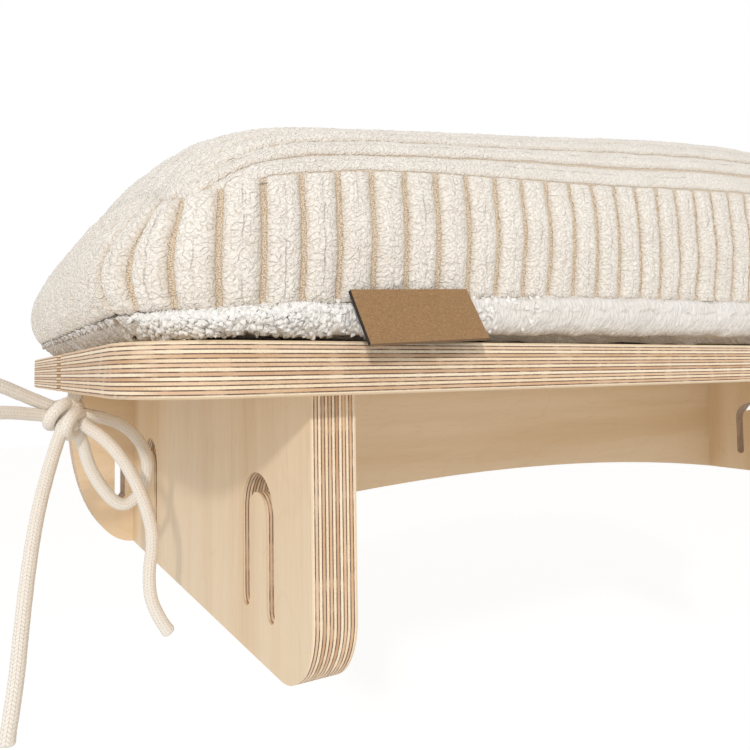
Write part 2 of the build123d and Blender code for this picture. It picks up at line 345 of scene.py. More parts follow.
def from_outline(x, y):
    """How far inside the outline a point is, and the x and y shares of its way outward."""
    over_x, over_y = np.abs(x) - straight_x, np.abs(y) - straight_y
    bend = (over_x > 0) & (over_y > 0)
    far = np.maximum(np.hypot(over_x, over_y), 1e-9)
    in_x, in_y = half_width - np.abs(x), half_depth - np.abs(y)
    inside = np.where(bend, corner_radius - far, np.minimum(in_x, in_y))
    return inside, np.where(bend, over_x / far, in_x < in_y), np.where(bend, over_y / far, 0)


def drawn(x, y):
    """A point of the top panel, drawn in where the ends and their corners lean in."""
    inside, end, side = from_outline(x, y)
    pull = end_lean * end ** 4 * np.clip(1 - np.maximum(inside, 0) / corner_radius, 0, 1) ** 2
    return x - np.sign(x) * end * pull, y - np.sign(y) * side * pull


def crown(x, y):
    """Height of the top panel over the board. It meets the top seam all along the outline."""
    in_x = np.maximum(half_width - np.abs(x), 0)
    in_y = np.maximum(half_depth - np.abs(y), 0)
    away = np.stack([corner_radius - in_x, corner_radius - in_y])
    reach = np.maximum(np.hypot(*away), 1e-9)
    edge = corner_radius - away / reach * corner_radius
    spare = np.maximum(corner_radius - reach, 0)
    rise = end_rise(in_x) * (1 - np.exp(-in_y / rise_reach))
    start = end_rise(np.maximum(edge[0], 0)) * (1 - np.exp(-edge[1] / rise_reach))
    held = np.where((away > 0).all(0), start * np.exp(-spare / crown_corner_reach), 0)
    swell = crown_height + crown_swell * ramp(in_x, 0.070, 0.380) - seam_rise(x)
    return top_seam(x, y) + swell * (rise - held)


def clumps(across, along, size, seed):
    """Small domes of pile, 0 to 1, scattered on a jittered grid of that size."""
    cells = 97
    jitter = np.random.default_rng(seed).random((cells, cells, 3))
    across, along = across / size, along / size
    best = np.zeros(across.shape)
    for step_across in (-1, 0, 1):
        for step_along in (-1, 0, 1):
            column = np.floor(across) + step_across
            row = np.floor(along) + step_along
            pick = jitter[column.astype(int) % cells, row.astype(int) % cells]
            far = (across - column - pick[..., 0]) ** 2 + (along - row - pick[..., 1]) ** 2
            best = np.maximum(best, 1 - far * 0.9 - 0.4 * pick[..., 2])
    return best


def swells(across, along, size, seed):
    """Smooth unevenness, mostly from -1 to 1, with features of about that size."""
    wave_count, usual_peak = 7, 4.5
    draw = np.random.default_rng(seed)
    total = np.zeros(np.broadcast(across, along).shape)
    for _ in range(wave_count):
        turn = draw.uniform(0, 2 * math.pi)
        wave = draw.uniform(0.6, 1.5) * 2 * math.pi / size
        phase = draw.uniform(0, 2 * math.pi)
        total += np.sin((across * math.cos(turn) + along * math.sin(turn)) * wave + phase)
    return total / usual_peak


def pile(across, along, seam_distance, seed, seam_dip=seam_crease, depth=wale_height):
    """How far the plush stands from its crest: wales between grooves, rounded at the seams."""
    centred = (across / wale_pitch) % 1.0 - 0.5
    curl = clumps(across, along, curl_size, seed)
    waver = swells(across * 0.3, along, 0.005, seed + 5)
    side = np.abs(centred) - 0.030 * (curl - 0.5) + 0.008 * waver
    body = np.clip(1 - (np.maximum(side, 0) / 0.445) ** 2.6, 0, 1) ** 0.6
    middle = centred + 0.05 * swells(across * 0.1, along, 0.012, seed + 7)
    gape = 0.6 + 0.4 * swells(across * 0.1, along, 0.02, seed)
    parting = np.exp(-((middle / 0.035) ** 2)) * gape
    near = np.clip(1 - seam_distance / seam_rounding, 0, 1)
    height = depth * (body - 1) * (1 - 0.75 * near)
    height += body * (curl_height * (curl - 0.55) - parting_depth * parting)
    height += cloth_swell * swells(across, along, 0.030, seed + 9)
    return height - seam_dip * (1 - np.sqrt(1 - near * near))


def surface_normals(base, ring):
    """Outward unit normals of a grid of points."""
    if ring:
        wide = np.concatenate([base[:, -1:], base, base[:, :1]], 1)
        along = np.gradient(wide, axis=1)[:, 1:-1]
    else:
        along = np.gradient(base, axis=1)
    normal = np.cross(along, np.gradient(base, axis=0))
    return normal / np.maximum(np.linalg.norm(normal, axis=-1, keepdims=True), 1e-12)


def numbered(grid, first=0):
    """The numbers of a grid's points, from the first one on."""
    rows, columns = grid.shape[:2]
    return np.arange(first, first + rows * columns).reshape(rows, columns)


def wrapped(grid):
    """A grid with its first column once more at its end."""
    return np.concatenate([grid, grid[:, :1]], 1)


def quads(numbers):
    corners = [numbers[:-1, :-1], numbers[:-1, 1:], numbers[1:, 1:], numbers[1:, :-1]]
    return np.stack(corners, -1).reshape(-1, 4).tolist()


def rim(fine, coarse, marks):
    """Triangles that close a shell between its outer edge and its coarser inner edge."""
    faces = []
    for index in range(len(marks) - 1):
        start, end = marks[index], marks[index + 1]
        middle = (start + end) // 2
        here, there = coarse[index], coarse[index + 1]
        for step in range(start, end):
            faces.append((fine[step + 1], fine[step], here if step < middle else there))
        faces.append((fine[middle], here, there))
    return faces


def marks_every(count, stride):
    """Indices from 0 to count with about that stride, both ends among them."""
    return np.linspace(0, count, max(2, count // stride) + 1).round().astype(int)


def cloth_shell(base, height, uv, thickness, ring, stride):
    """Points, faces and UVs of a sheet of cloth: its face raised by height, a coarser back."""
    rows, columns = base.shape[:2]
    normal = surface_normals(base, ring)
    face = base + normal * height[..., None]
    row_marks = marks_every(rows - 1, stride)
    column_marks = marks_every(columns if ring else columns - 1, stride)
    back_columns = column_marks[:-1] if ring else column_marks
    back = (base - normal * thickness)[row_marks][:, back_columns]
    back_uv = uv[row_marks][:, back_columns]
    outer = numbered(base)
    inner = numbered(back, outer.size)
    if ring:
        outer, inner = wrapped(outer), wrapped(inner)
    faces = quads(outer) + [quad[::-1] for quad in quads(inner)]
    faces += rim(outer[0], inner[0], column_marks)
    last = outer.shape[1] - 1
    faces += rim(outer[-1][::-1], inner[-1][::-1], last - column_marks[::-1])
    if not ring:
        faces += rim(outer[:, -1], inner[:, -1], row_marks)
        faces += rim(outer[::-1, 0], inner[::-1, 0], rows - 1 - row_marks[::-1])
    points = np.concatenate([face.reshape(-1, 3), back.reshape(-1, 3)])
    return points, faces, np.concatenate([uv.reshape(-1, 2), back_uv.reshape(-1, 2)])


def put_in_scene(name, data):
    made = bpy.data.objects.new(name, data)
    bpy.context.scene.collection.objects.link(made)
    return made


def new_piece(name, material, points, faces, uv=None):
    """An object at the origin made of these points and faces, smooth, with a UV in metres."""
    mesh = bpy.data.meshes.new(name)
    mesh.from_pydata(points.tolist(), [], faces)
    mesh.polygons.foreach_set("use_smooth", np.ones(len(mesh.polygons), bool))
    if uv is not None:
        numbers = np.empty(len(mesh.loops), np.int32)
        mesh.loops.foreach_get("vertex_index", numbers)
        layer = mesh.uv_layers.new(name="cloth")
        layer.data.foreach_set("uv", uv[numbers].astype(np.float32).ravel())
    mesh.materials.append(material)
    return put_in_scene(name, mesh)


def fixed(piece, node=None):
    """Fixes a piece to the shelf, in the place of its constructed node if it has one."""
    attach(piece, "shelf")
    if node:
        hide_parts(node)


def spaced(stretches):
    """Places along a line, from stretches of (end, spacing), the first one starting at 0."""
    places = [np.zeros(1)]
    start = 0.0
    for end, spacing in stretches:
        count = max(1, int(round((end - start) / spacing)))
        places.append(start + (end - start) * np.arange(1, count + 1) / count)
        start = end
    return np.concatenate(places)


def side_base(walked, shares, sink=0.0):
    """The side band between its two seams. At the ends it bulges low and leans in above."""
    flat, out = outline(walked)
    low = lower_seam(flat[:, 0])
    high = top_seam(flat[:, 0], flat[:, 1])
    shares = np.asarray(shares)[:, None]
    bow = side_bow * np.sin(math.pi * shares)
    bulge = end_bulge * np.sin(math.pi * shares ** 0.75)
    lean = end_lean * np.abs(out[:, 0]) ** 4 * shares ** 1.6
    push = bow + (bulge - bow) * out[:, 0] ** 2 - lean - sink
    x = flat[:, 0] + out[:, 0] * push
    y = flat[:, 1] + out[:, 1] * push + outline_middle
    return np.stack([x, y, board_top + low + (high - low) * shares], -1)


def plush(name, pale, warm, crease_shade_tone, shade, bare):
    """Plush pile in curls, over a tan twill, with painted shade. Shade is how strongly that darkens
    the flanks and one side of each wale, the partings and the creases between the curls, these
    towards the tone given just before shade, and bare is how much of the twill shows in grooves."""
    material, shader, place = new_finish(name, 0.92, "UV")
    shader.inputs["Sheen Weight"].default_value = 0.25
    shader.inputs["Sheen Roughness"].default_value = 0.6
    across, along, _ = place.axes()
    wobble = place.noise(750, 3.0, 0.6) - 0.5
    turn = across / wale_pitch
    centred = turn.math("FRACT") - 0.5
    side = centred.math("ABSOLUTE")
    ground = (side + wobble * 0.09).step(0.418, 0.438)
    shaken = place.node("TexNoise", {}, {"Vector": place, "Scale": 620.0, "Detail": 1.0}, 1)
    shift = shaken.stretched(0.0015, 0.0015, 0)
    loose = place.node("VectorMath", {"operation": "ADD"}, {0: place, 1: shift})
    curl_sockets = {"Vector": loose.stretched(0.95, 1.05, 1), "Scale": 590.0, "Randomness": 1.0}
    flat = {"voronoi_dimensions": "2D", "feature": "DISTANCE_TO_EDGE"}
    rim = place.node("TexVoronoi", flat, curl_sockets)
    gaps = place.noise(560, 1.0).step(0.44, 0.60)
    worm = (loose.noise(430, 0.0) - 0.5).math("ABSOLUTE")
    crease = ((1 - rim.step(0.01, 0.15)) * gaps * 0.7).math("MAXIMUM", 1 - worm.step(0.004, 0.032))
    meander = (place.noise(130, 1.0) - 0.5) * 0.22
    parted = place.noise(90, 1.0).step(0.42, 0.62)
    parting = (1 - (centred + meander).math("ABSOLUTE").step(0.004, 0.022)) * parted
    fibres = place.noise(3000, 2.0, 0.6)
    tint = place.noise(40, 2.0).step(0.3, 0.7)
    wool = tint.blend(pale, warm)
    for share, tone in (
        # Painted light: the loose tufts are painted paler, against the shade that falls between
        # them
        (along.step(5.0, 6.0), (245, 242, 237)),
        (fibres.step(0.40, 0.75) * 0.12, (216, 205, 190)),
        # Partly painted shade: the flanks of each wale darker towards the grooves, partly the
        # thinner pile there
        (side.step(0.30, 0.43) * 0.5 * shade, (212, 198, 180)),
        # Painted shade: one side of each wale darker, as the key lamp's light leaves it
        (centred.step(0.10, 0.42) * 0.45 * shade, (212, 199, 182)),
        # Painted shade: the creases between the curls darkened towards the crease tone
        (crease * 0.50 * shade, crease_shade_tone),
        # The parting down each wale's middle: partly the twill showing, partly painted shade
        (parting * 0.45 * shade, (170, 150, 126)),
    ):
        wool = share.blend(wool, tone)
    weave = {"Vector": place, "Scale": 1900.0}
    speck = place.node("TexVoronoi", {"voronoi_dimensions": "2D"}, weave)
    twill = speck.step(0.15, 0.62).blend((230, 214, 192), (182, 158, 128))
    give(shader, "Base Color", (ground * bare).blend(wool, twill))
    curls = rim.step(-0.10, 0.32) * 0.45 + worm.step(0.0, 0.10) * 0.45
    raised = curls + fibres * 0.2 - parting * 0.4
    relief = (1 - ground) * raised + ground * (0.25 - speck * 0.3)
    emboss(shader, relief, 0.00048)
    return material


plush_finish = plush(
    "wale_plush_sides", (242, 235, 225), (236, 228, 217), (186, 167, 142), shade=1.0, bare=1.0)

# The foam core: one block of open-cell foam, cut a little smaller than the cover, with the
# same crown and rounded corners.


def foam():
    material, shader, place = new_finish("open_cell_foam", 0.95)
    cells = place.node("TexVoronoi", {}, {"Vector": place, "Scale": 900.0})
    tint = place.noise(25, 2.0).step(0.3, 0.7)
    body = tint.blend((240, 234, 206), (232, 222, 186))
    # Painted shade: dark spots where the open cells' pores are
    give(shader, "Base Color", (cells.step(0.5, 0.2) * 0.35).blend(body, (190, 176, 136)))
    emboss(shader, cells, 0.0005)
    return material


cloth_back = 0.004
core_sink = 0.0075
core_floor = 0.009
core_walk = np.linspace(0, outline_length, 240, endpoint=False)
core_flat, _ = outline(core_walk)


def core_ring(share, on_crown):
    """The outline drawn in to a share of its size, on the core's underside or its crown."""
    x, y = (core_flat * share).T
    lift = crown(x, y) - core_sink * 1.3 if on_crown else 0 * x + core_floor
    if on_crown:
        x, y = drawn(x, y)
    return np.stack([x, y + outline_middle, board_top + lift], -1)[None]


core_rings = [core_ring(share, False) for share in (0.02, 0.5, 0.92)]
core_rings.append(side_base(core_walk, np.linspace(0, 1, 9), core_sink))
core_rings += [core_ring(share, True) for share in np.linspace(0.97, 0.02, 13)]
core = np.concatenate(core_rings)
core_numbers = numbered(core)
core_faces = quads(wrapped(core_numbers))
core_faces += [core_numbers[-1].tolist(), core_numbers[0][::-1].tolist()]
foam_core = new_piece("foam_core", foam(), core.reshape(-1, 3), core_faces)
fixed(foam_core, "cushion_foam")

# The side band of the cover: a strip of plush with upright wales, sewn in between the top
# and the lower seam. At the back its wales are cut along the zip and turned under.
zip_low, zip_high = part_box("zip_tape")
zip_middle = (zip_low + zip_high) / 2
front_groove = -0.3172
band_stretch = 1.08
# Stretches walked from the front middle, each with its end and how close its points are. The
# ones round the left front corner are the closest, because the pile shows there most.
band_stretches = [(0.10, 0.00062), (1.28, 0.00115), (outline_length, 0.00062)]
band_walk = spaced(band_stretches)[:-1]
band_shares = np.linspace(0, 1, 78)
band_base = side_base(band_walk, band_shares)
band_cloth = (band_base[-1] - band_base[0])[:, 2] * band_stretch
band_along = band_shares[:, None] * band_cloth
band_across = np.broadcast_to(band_walk - front_groove % wale_pitch, band_along.shape)
band_across = band_across + cloth_waver * swells(band_across, band_along, 0.09, 3)
short_by = np.random.default_rng(29).uniform(0.0, 0.0011, wale_count + 2)
wale_number = np.floor(band_across / wale_pitch).astype(int) % len(short_by)
wale_end = band_along - short_by[wale_number] * np.exp(-band_along / 0.004)
band_seam = np.minimum(np.maximum(wale_end, 0), (band_cloth - band_along) * 0.7)
low_dip = 0.0002 + 0.0006 * ramp(half_width - np.abs(outline(band_walk)[0][:, 0]), 0.02, 0.08)
band_dip = np.where(band_shares[:, None] > 0.5, seam_crease, low_dip)
on_back = band_base[..., 1] > outline_middle + half_depth - 0.004
from_zip = np.hypot(
    np.maximum(np.abs(band_base[..., 0]) - zip_high.x, 0),
    np.maximum(np.abs(band_base[..., 2] - zip_middle.z) - zip_high.z + zip_middle.z, 0),
)
from_zip = np.where(on_back, from_zip, 1.0)
band_dip = np.where(from_zip < band_seam, 0.0012, band_dip)
band_seam = np.minimum(band_seam, from_zip)
band_height = pile(band_across, band_along, band_seam, 11, band_dip)
band_uv = np.stack([band_across, band_along], -1)
band_mesh = cloth_shell(band_base, band_height, band_uv, cloth_back, True, 8)
side_band = new_piece("cover_side_plush", plush_finish, *band_mesh)
fixed(side_band, "cover_side_band")

# The crowned top panel: plush with its wales along the shelf, sewn in all round. Each row of
# points is one line of the cloth, and the rows are spaced by the cloth's length over the crown.


def length_along(line):
    """The length of a line of points up to each of them."""
    return np.concatenate([[0], np.cumsum(np.linalg.norm(np.diff(line, axis=0), axis=1))])


profile_y = np.linspace(-half_depth, half_depth, 4001)
profile_s = length_along(np.stack([profile_y, crown(0 * profile_y, profile_y)], 1))
top_across = spaced([(0.095, 0.00072), (profile_s[-1] - 0.03, 0.0015), (profile_s[-1], 0.001)])
top_rows = np.interp(top_across, profile_s, profile_y)
top_over = np.maximum(np.abs(top_rows) - straight_y, 0)
top_reach = straight_x + np.sqrt(np.maximum(corner_radius ** 2 - top_over ** 2, 0))
end_x = np.linspace(-half_width, half_width, 6001)
end_s = length_along(np.stack([end_x, crown(end_x, 0 * end_x)], 1))
top_along = spaced([(0.30, 0.00085), (end_s[-1] - 0.04, 0.0016), (end_s[-1], 0.001)])
top_columns = np.interp(top_along, end_s, end_x) / half_width
top_x = top_reach[:, None] * top_columns
top_y = np.broadcast_to(top_rows[:, None], top_x.shape)
panel_x, panel_y = drawn(top_x, top_y)
top_base = np.stack([panel_x, panel_y + outline_middle, board_top + crown(top_x, top_y)], -1)
top_edge, _, _ = from_outline(top_x, top_y)
top_lines = np.broadcast_to(top_across[:, None], top_x.shape)
top_lines = top_lines + cloth_waver * swells(top_lines, top_x, 0.12, 4)
top_depth = wale_height * 0.7
top_thickness = cloth_back * 0.72
top_height = pile(top_lines, top_x, np.maximum(top_edge, 0) * 1.7, 23, depth=top_depth)
top_uv = np.stack([top_lines, top_x], -1)
top_mesh = cloth_shell(top_base, top_height, top_uv, top_thickness, False, 6)
top_finish = plush(
    "wale_plush_top", (241, 234, 224), (236, 228, 217), (190, 172, 148), shade=0.7, bare=0.75)
top_panel = new_piece("cover_top_plush", top_finish, *top_mesh)
fixed(top_panel, "cover_top_panel")

# The bottom panel: plush too, it rolls out under the lower seam and back in to the board,
# and its pile stands out in short thick curls along the roll.
under_gap = 0.0012
roll_tuck_in = 0.008
roll_pull_in = 0.4
first_groove = 0.0018
front_roll = 0.0045
least_roll = 0.0015
corner_roll = 0.0032
roll_crease = 0.0003
roll_flat, roll_out = outline(band_walk)
roll_drop = lower_seam(roll_flat[:, 0]) - under_gap
shaggy = np.exp(-corner_distance(*roll_flat.T) / 0.05) * (roll_flat[:, 1] < 0)
to_back = ramp(roll_out[:, 1], 0.1, 0.9)
roll_bow = front_roll * (1 - roll_out[:, 0] ** 2) * (1 - to_back) + least_roll
roll_bow += corner_roll * shaggy * ramp(-roll_out[:, 1], 0.3, 0.8)


def roll_row(flat, lift):
    """A row of points round the cover, at a height over the board."""
    lift = np.broadcast_to(board_top + lift, len(flat))
    return np.stack([flat[:, 0], flat[:, 1] + outline_middle, lift], -1)


under_rows = [roll_row(roll_flat * share, under_gap) for share in (0.02, 0.5, 0.85, 0.93)]
for angle in np.radians(np.linspace(180, 0, 42)):
    push = roll_bow * math.sin(angle) - roll_tuck_in * (1 - math.cos(angle)) / 2
    lift = under_gap + roll_drop * (1 + math.cos(angle)) / 2
    under_rows.append(roll_row(roll_flat + roll_out * push[:, None], lift))
for tuck in (0.0012, 0.0035):
    under_rows.append(roll_row(roll_flat - roll_out * tuck, under_gap + roll_drop + tuck))
roll_base = np.stack(under_rows)
roll_steps = np.linalg.norm(np.diff(roll_base, axis=0), axis=-1)
roll_from_seam = np.zeros(roll_base.shape[:2])
roll_from_seam[:-1] = np.cumsum(roll_steps[::-1], 0)[::-1]
roll_cloth_x = roll_flat[:, 0] - roll_out[:, 0] * roll_from_seam
roll_cloth_y = roll_flat[:, 1] - roll_out[:, 1] * roll_from_seam * roll_pull_in
roll_across = roll_cloth_y + half_depth + first_groove
to_front = ramp(-roll_out[:, 1], 0.35, 0.65)
front_across = first_groove + roll_from_seam * roll_pull_in
front_along = band_walk + 0 * roll_from_seam
roll_height = pile(front_across, front_along, roll_from_seam, 31, roll_crease) * to_front
roll_height += pile(roll_across, roll_cloth_x, roll_from_seam, 31, roll_crease) * (1 - to_front)
roll_across = np.where(to_front > 0.5, front_across, roll_across)
roll_cloth_x = np.where(to_front > 0.5, front_along, roll_cloth_x)
roll_height *= ramp(roll_from_seam, 0.045, 0.034)
roll_height += 0.0009 * swells(roll_cloth_x, roll_from_seam, 0.022, 37) * (roll_from_seam > 0.004)
roll_uv = np.stack([roll_across, roll_cloth_x], -1)
roll_cloth = cloth_shell(roll_base, roll_height, roll_uv, cloth_back, True, 8)

# The finish knows loose tufts by this length, which no panel reaches
tuft_mark = 8.0
tuft_points = 10


def tufts(roots, directions, lengths, width, seed):
    """Thin bent cones of pile, three-sided, with a UV that keeps them all pile."""
    draw = np.random.default_rng(seed)
    count = len(roots)
    directions = directions / np.linalg.norm(directions, axis=-1, keepdims=True)
    side = np.cross(directions, draw.normal(size=(count, 3)))
    side /= np.linalg.norm(side, axis=-1, keepdims=True)
    other = np.cross(directions, side)
    droop = draw.normal(size=(count, 3)) * 0.25 + np.array([0, 0, -0.12])
    layers = []
    for share, girth in ((-0.15, 1.0), (0.4, 0.9), (0.8, 0.5)):
        middle = roots + lengths[:, None] * (directions * share + droop * share * abs(share))
        for corner in range(3):
            turn = corner * 2 * math.pi / 3
            spoke = side * math.cos(turn) + other * math.sin(turn)
            layers.append(middle + spoke * width * girth)
    layers.append(roots + lengths[:, None] * (directions + droop))
    points = np.stack(layers, 1)
    points[..., 2] = np.maximum(points[..., 2], board_top + 0.0002)
    plan = [(2, 1, 0)]
    for low in (0, 3):
        plan += [(low + a, low + b, low + b + 3, low + a + 3) for a, b in ((0, 1), (1, 2), (2, 0))]
    plan += [(6, 7, 9), (7, 8, 9), (8, 6, 9)]
    faces = [tuple(corner + tuft_points * number for corner in face)
             for number in range(count) for face in plan]
    along = np.array([0, 0, 0, 0.4, 0.4, 0.4, 0.8, 0.8, 0.8, 1.0])
    spread = draw.uniform(0.62, 0.72, (count, 1))
    across = (np.round(draw.uniform(0, 60, (count, 1))) + spread) * wale_pitch + along * 0
    lengthwise = tuft_mark + draw.uniform(0, 0.5, (count, 1)) + along * lengths[:, None]
    return points.reshape(-1, 3), faces, np.stack([across, lengthwise], -1).reshape(-1, 2)


def joined(parts):
    """Points, faces and UVs of several meshes as one."""
    points = np.concatenate([part[0] for part in parts])
    uv = np.concatenate([part[2] for part in parts])
    faces, first = [], 0
    for part in parts:
        faces += [[int(corner) + first for corner in face] for face in part[1]]
        first += len(part[0])
    return points, faces, uv


def fringe(count, seed):
    """Tufts along the front of the roll, most of them near its corners."""
    first_row, row_reach, seam_row = 11, 36, 36
    draw = np.random.default_rng(seed)
    normal = surface_normals(roll_base, True)
    face = roll_base + normal * roll_height[..., None]
    in_front = np.flatnonzero((roll_out[:, 1] < -0.40) & (shaggy > 0.04))
    column = in_front[draw.integers(0, len(in_front), count)]
    full = draw.random(count) < shaggy[column] * 1.5
    column, full = column[full], full[full]
    count = len(column)
    row = first_row + (draw.random(count) ** 0.85 * row_reach).astype(int)
    out = normal[row, column]
    lean = draw.normal(size=out.shape) * 0.35
    lean[:, :2] += roll_out[column] * np.where(row > seam_row, 1.6, 0.3)[:, None]
    lengths = draw.uniform(0.0006, 0.0012, count) * (1 + 0.4 * shaggy[column])
    return tufts(face[row, column], out + lean, lengths, 0.0016, seed + 1)


# Painted shade: the roll's plush is a cooler, darker tone than the sides', for the roll that faces
# down; its wales get weaker painted shade
roll_shaded_finish = plush(
    "wale_plush_roll", (234, 229, 223), (228, 222, 215), (196, 184, 168), shade=0.5, bare=0.2)
roll_mesh = joined([roll_cloth, fringe(3400, 41)])
bottom_panel = new_piece("cover_bottom_plush", roll_shaded_finish, *roll_mesh)
fixed(bottom_panel, "cover_bottom_panel")

# The zip across the back of the cover: a woven tape with a coil chain, a die-cast slider and
# its hanging pull. The tape's edges are sewn under the cut wales.
tape_thickness = 0.001
tape_face = zip_low.y + tape_thickness
tape_length = zip_high.x - zip_low.x
chain_height = zip_high.y - zip_low.y - tape_thickness
rib_spacing = 0.0009
stitch_length = 0.0032
stitch_from_middle = 0.0048


def tape_cloth():
    material, shader, place = new_finish("zip_tape_weave", 0.85)
    x, _, z = place.axes()
    from_middle = (z - zip_middle.z).math("ABSOLUTE")
    rib = ((x + from_middle * 0.6) / rib_spacing).math("PINGPONG", 0.5) * 2
    dash = (x / stitch_length).math("PINGPONG", 0.5).step(0.12, 0.18)
    off_line = (from_middle - stitch_from_middle).math("ABSOLUTE").step(0.0003, 0.0005)
    stitch = dash * (1 - off_line)
    body = (rib * 0.5).blend((226, 216, 198), (198, 184, 160))
    body = (stitch * 0.8).blend(body, (246, 242, 232))
    give(shader, "Base Color", body)
    emboss(shader, rib * 0.5 + stitch * 0.5, 0.0002)
    return material


def coil_plastic():
    material, shader, place = new_finish("zip_coil_nylon", 0.38)
    tint = place.noise(300, 1.0).step(0.35, 0.65)
    give(shader, "Base Color", tint.blend((236, 230, 218), (224, 216, 200)))
    return material


def cast_zinc():
    material, shader, place = new_finish("cast_zinc", 0.32)
    shader.inputs["Metallic"].default_value = 1.0
    wear = place.noise(420, 3.0).step(0.35, 0.7)
    give(shader, "Base Color", wear.blend((186, 184, 178), (212, 210, 202)))
    give(shader, "Roughness", 0.26 + wear * 0.2)
    emboss(shader, place.noise(1500, 2.0), 0.00005)
    return material


def rounded_block(name, material, middle, size, bevel, steps):
    """A block with its edges rounded, its place kept in its mesh."""
    bpy.ops.object.select_all(action="DESELECT")
    bpy.ops.mesh.primitive_cube_add(size=1)
    block = bpy.context.object
    block.name = block.data.name = name
    bpy.ops.object.mode_set(mode="EDIT")
    bpy.ops.transform.resize(value=size)
    bpy.ops.transform.translate(value=middle)
    bpy.ops.mesh.bevel(offset=bevel, segments=steps, affect="EDGES")
    bpy.ops.object.mode_set(mode="OBJECT")
    block.data.materials.append(material)
    return block


tape_middle = (zip_middle.x, zip_low.y + tape_thickness / 2, zip_middle.z)
tape_size = (tape_length, tape_thickness, zip_high.z - zip_low.z)
tape = rounded_block("zip_tape_strip", tape_cloth(), tape_middle, tape_size, 0.0004, 2)
fixed(tape, "zip_tape")

chain_inset = 0.006
tooth_pitch = 0.0016
tooth_width = 0.00075
tooth_length = 0.0031
tooth_count = int((tape_length - 2 * chain_inset) / tooth_pitch)
coil_finish = coil_plastic()
for row, side in (("upper", 1), ("lower", -1)):
    first = (
        zip_low.x + chain_inset + tooth_pitch / 2 * (side > 0),
        tape_face + chain_height / 2 - 0.0001,
        zip_middle.z + side * (tooth_length / 2 - 0.0002),
    )
    size = (tooth_width, chain_height, tooth_length)
    teeth = rounded_block(f"zip_teeth_{row}", coil_finish, first, size, 0.0003, 1)
    repeat = teeth.modifiers.new("repeat", "ARRAY")
    repeat.count = tooth_count
    repeat.use_relative_offset = False
    repeat.use_constant_offset = True
    repeat.constant_offset_displace = (tooth_pitch, 0, 0)
    bpy.ops.object.modifier_apply(modifier="repeat")
    fixed(teeth)

dress("zip_metal", cast_zinc(), "zip_slider", "zip_pull")

# The label: a strip of brown kraft board with a black back, its upper edge sewn into the
# lower seam at the front.


def kraft_board():
    material, shader, place = new_finish("kraft_board", 0.7)
    normal = place.node("TexCoord", {}, {}, 1).axes()
    up, outward = 0.5, 0.866
    front = (normal[2] * up - normal[1] * outward).step(0.90, 0.97)
    specks = place.noise(1500, 2.0, 0.7)
    fibres = place.stretched(0.25, 1, 1).noise(2200, 1.0)
    board = (specks.step(0.35, 0.68) * 0.6).blend((154, 118, 77), (120, 87, 54))
    board = (fibres.step(0.60, 0.75) * 0.35).blend(board, (184, 152, 112))
    off_edge = (normal[1] * normal[1] + normal[0] * normal[0]).step(0.45, 0.6)
    edge = off_edge.blend((118, 90, 60), (34, 28, 24))
    give(shader, "Base Color", front.blend(edge, board))
    emboss(shader, specks * 0.6 + fibres * 0.4, 0.00008)
    return material


dress("label_board", kraft_board(), "cover_label")

# The ties: at each end two soft braided cotton cords, 6 mm thick, come down from the seam
# through the notch and are tied under the board in a bow: a knot, two loops and two tails.
cord_diameter = 0.006
cord_sides = 20
cord_step = 0.0006
strand_top = board_top + 0.0003
tie_routes = {
    "cord_inner": [
        (0.389, -0.1588, strand_top), (0.389, -0.1588, 0.069), (0.393, -0.163, 0.057),
        (0.390, -0.168, 0.048), (0.381, -0.1725, 0.042), (0.371, -0.176, 0.029),
        (0.363, -0.178, 0.011), (0.3585, -0.179, -0.007), (0.3615, -0.1795, -0.026),
        (0.359, -0.180, -0.042), (0.351, -0.180, -0.054),
    ],
    "cord_outer": [
        (0.389, -0.1662, strand_top), (0.389, -0.1662, 0.070), (0.396, -0.167, 0.057),
        (0.3995, -0.171, 0.046), (0.405, -0.178, 0.031), (0.411, -0.188, 0.011),
        (0.415, -0.198, -0.010), (0.418, -0.208, -0.031), (0.4205, -0.219, -0.050),
        (0.424, -0.227, -0.067),
    ],
    "loop_inner": [
        (0.393, -0.163, 0.050), (0.389, -0.160, 0.040), (0.385, -0.157, 0.026),
        (0.377, -0.156, 0.012), (0.368, -0.156, 0.004), (0.359, -0.1575, 0.012),
        (0.3565, -0.160, 0.027), (0.363, -0.162, 0.041), (0.375, -0.164, 0.050),
        (0.389, -0.165, 0.053),
    ],
    "loop_outer": [
        (0.400, -0.165, 0.052), (0.411, -0.171, 0.054), (0.424, -0.179, 0.056),
        (0.439, -0.187, 0.056), (0.455, -0.193, 0.058), (0.465, -0.196, 0.066),
        (0.458, -0.195, 0.075), (0.443, -0.189, 0.074), (0.427, -0.181, 0.0685),
        (0.412, -0.171, 0.061), (0.401, -0.165, 0.056),
    ],
}


def smooth_line(route):
    """Close points along the smooth curve that a route gives."""
    curve = bpy.data.curves.new("route", "CURVE")
    curve.dimensions = "3D"
    curve.resolution_u = 24
    spline = curve.splines.new("NURBS")
    spline.points.add(len(route) - 1)
    for point, place in zip(spline.points, route):
        point.co = (*place, 1.0)
    spline.order_u = 3
    spline.use_endpoint_u = True
    holder = put_in_scene("route", curve)
    mesh = bpy.data.meshes.new_from_object(holder)
    line = np.array([vertex.co for vertex in mesh.vertices], float)
    bpy.data.objects.remove(holder)
    bpy.data.curves.remove(curve)
    bpy.data.meshes.remove(mesh)
    return line


def evenly(line, spacing):
    """The same line with points at even distances."""
    walked = length_along(line)
    places = np.linspace(0, walked[-1], int(walked[-1] / spacing) + 1)
    return np.stack([np.interp(places, walked, line[:, axis]) for axis in range(3)], 1), places


